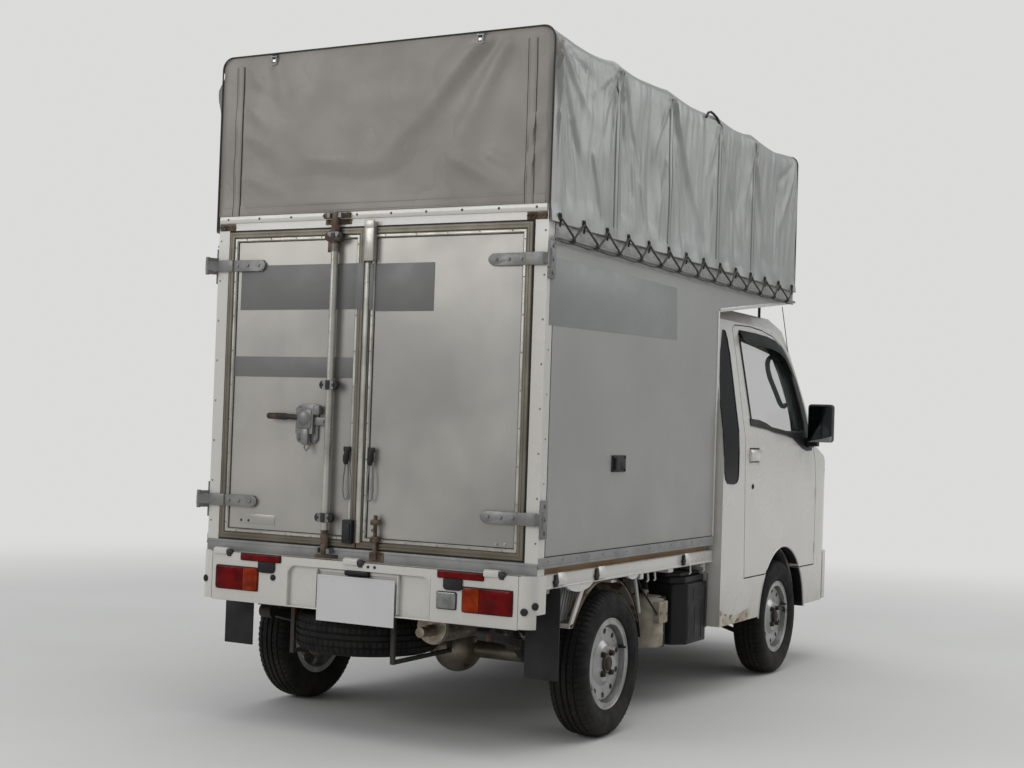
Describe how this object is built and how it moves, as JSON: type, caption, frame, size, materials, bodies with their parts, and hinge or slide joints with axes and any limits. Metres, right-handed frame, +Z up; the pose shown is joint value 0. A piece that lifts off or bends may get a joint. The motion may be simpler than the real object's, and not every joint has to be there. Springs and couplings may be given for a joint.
{
  "type": "kei truck with box body and tarpaulin top",
  "caption": "Small cab-over kei truck with a hard-sided box body, raised tarpaulin top over the cab, twin rear doors and free-turning wheels.",
  "frame": {"origin": "on the ground under the middle of the outline box", "axes": "+Y to the front of the truck, +X to its right, +Z up"},
  "size_m": [1.748, 3.395, 2.5],
  "materials": {
    "tyre_black": "matt",
    "wheel_silver": "satin silver paint",
    "spare_black": "satin",
    "dark_steel": "satin, dusty",
    "hub_iron": "rough, lightly rusted",
    "white_paint": "gloss",
    "box_aluminium": "painted light grey sheet",
    "door_aluminium": "brushed",
    "frame_aluminium": "anodised, worn",
    "galvanised": "galvanised",
    "tarpaulin": "coated cloth, soft sheen",
    "plywood": "rough",
    "lens_red": "clear gloss",
    "lens_clear": "clear gloss",
    "plate_white": "blank",
    "black_plastic": "grained",
    "dash_plastic": "grained",
    "seat_cloth": "woven",
    "glass_clear": "clear",
    "exhaust_steel": "heat dulled",
    "black_rubber": "matt"
  },
  "bodies": {
    "truck": {"battery_box": "black_plastic", "bed_deck": "white_paint", "box_floor": "plywood", "box_front": "box_aluminium", "box_portal": "white_paint", "box_side_left": "box_aluminium", "box_side_right": "box_aluminium", "cab_back": "white_paint", "cab_floor": "white_paint", "cab_front": "white_paint", "cab_glass": "glass_clear", "cab_roof": "white_paint", "canopy_bows": "galvanised", "canopy_cover": "tarpaulin", "chassis_crossmembers": "dark_steel", "chassis_rails": "dark_steel", "dashboard": "dash_plastic", "engine_block": "hub_iron", "exhaust": "exhaust_steel", "front_bumper": "white_paint", "front_grille": "black_plastic", "front_suspension": "dark_steel", "fuel_tank": "black_plastic", "headlamps": "lens_clear", "leaf_springs": "dark_steel", "number_plates": "plate_white", "rear_axle": "hub_iron", "rear_hinge_brackets": "galvanised", "rear_mud_guards": "black_rubber", "rear_panel": "white_paint", "rope_rails": "galvanised", "seats": "seat_cloth", "spare_carrier": "dark_steel", "spare_rim": "spare_black", "spare_tyre": "tyre_black", "tail_lamps": "lens_red"},
    "steer_left": {"knuckle_left": "hub_iron"},
    "steer_right": {"knuckle_right": "hub_iron"},
    "wheel_front_left": {"tyre_front_left": "tyre_black", "rim_front_left": "wheel_silver"},
    "wheel_front_right": {"tyre_front_right": "tyre_black", "rim_front_right": "wheel_silver"},
    "wheel_rear_left": {"tyre_rear_left": "tyre_black", "rim_rear_left": "wheel_silver"},
    "wheel_rear_right": {"tyre_rear_right": "tyre_black", "rim_rear_right": "wheel_silver"},
    "steering": {"steering_wheel": "dash_plastic"},
    "cab_door_left": {"cab_door_left": "white_paint", "door_glass_left": "glass_clear", "mirror_left": "black_plastic"},
    "cab_door_right": {"cab_door_right": "white_paint", "door_glass_right": "glass_clear", "mirror_right": "black_plastic"},
    "rear_door_left": {"rear_door_frame_left": "frame_aluminium", "rear_door_skin_left": "door_aluminium", "rear_door_fittings_left": "galvanised"},
    "rear_door_right": {"rear_door_frame_right": "frame_aluminium", "rear_door_skin_right": "door_aluminium", "rear_door_fittings_right": "galvanised"}
  },
  "joints": [
    {"name": "steer_left", "type": "hinge", "parent": "truck", "child": "steer_left", "pos_m": [-0.61, 0.8425, 0.165], "axis": [0.229, 0, 0.9734], "range_deg": [-35, 35]},
    {"name": "steer_right", "type": "hinge", "parent": "truck", "child": "steer_right", "pos_m": [0.61, 0.8425, 0.165], "axis": [-0.229, 0, 0.9734], "range_deg": [-35, 35]},
    {"name": "wheel_front_left_spin", "type": "hinge", "parent": "steer_left", "child": "wheel_front_left", "pos_m": [-0.6525, 0.8425, 0.268], "axis": [-1, 0, 0], "continuous": true},
    {"name": "wheel_rear_left_spin", "type": "hinge", "parent": "truck", "child": "wheel_rear_left", "pos_m": [-0.65, -1.0575, 0.268], "axis": [-1, 0, 0], "continuous": true},
    {"name": "cab_door_left_hinge", "type": "hinge", "parent": "truck", "child": "cab_door_left", "pos_m": [-0.7355, 1.328, 0.7], "axis": [0, 0, -1], "range_deg": [0, 65]},
    {"name": "rear_door_left_hinge", "type": "hinge", "parent": "truck", "child": "rear_door_left", "pos_m": [-0.73, -1.6895, 1.2], "axis": [0, 0, -1], "range_deg": [0, 260]},
    {"name": "wheel_front_right_spin", "type": "hinge", "parent": "steer_right", "child": "wheel_front_right", "pos_m": [0.6525, 0.8425, 0.268], "axis": [-1, 0, 0], "continuous": true},
    {"name": "wheel_rear_right_spin", "type": "hinge", "parent": "truck", "child": "wheel_rear_right", "pos_m": [0.65, -1.0575, 0.268], "axis": [-1, 0, 0], "continuous": true},
    {"name": "cab_door_right_hinge", "type": "hinge", "parent": "truck", "child": "cab_door_right", "pos_m": [0.7355, 1.328, 0.7], "axis": [0, 0, 1], "range_deg": [0, 65]},
    {"name": "rear_door_right_hinge", "type": "hinge", "parent": "truck", "child": "rear_door_right", "pos_m": [0.73, -1.6895, 1.2], "axis": [0, 0, 1], "range_deg": [0, 260]},
    {"name": "steering_wheel_turn", "type": "hinge", "parent": "truck", "child": "steering", "pos_m": [0.33, 1.06, 1], "axis": [0, -0.5, 0.866], "range_deg": [-560, 560]}
  ],
  "couplings": [
    {"joint": "steer_right", "follows": "steer_left", "ratio": 1},
    {"joint": "steering_wheel_turn", "follows": "steer_left", "ratio": 16}
  ]
}
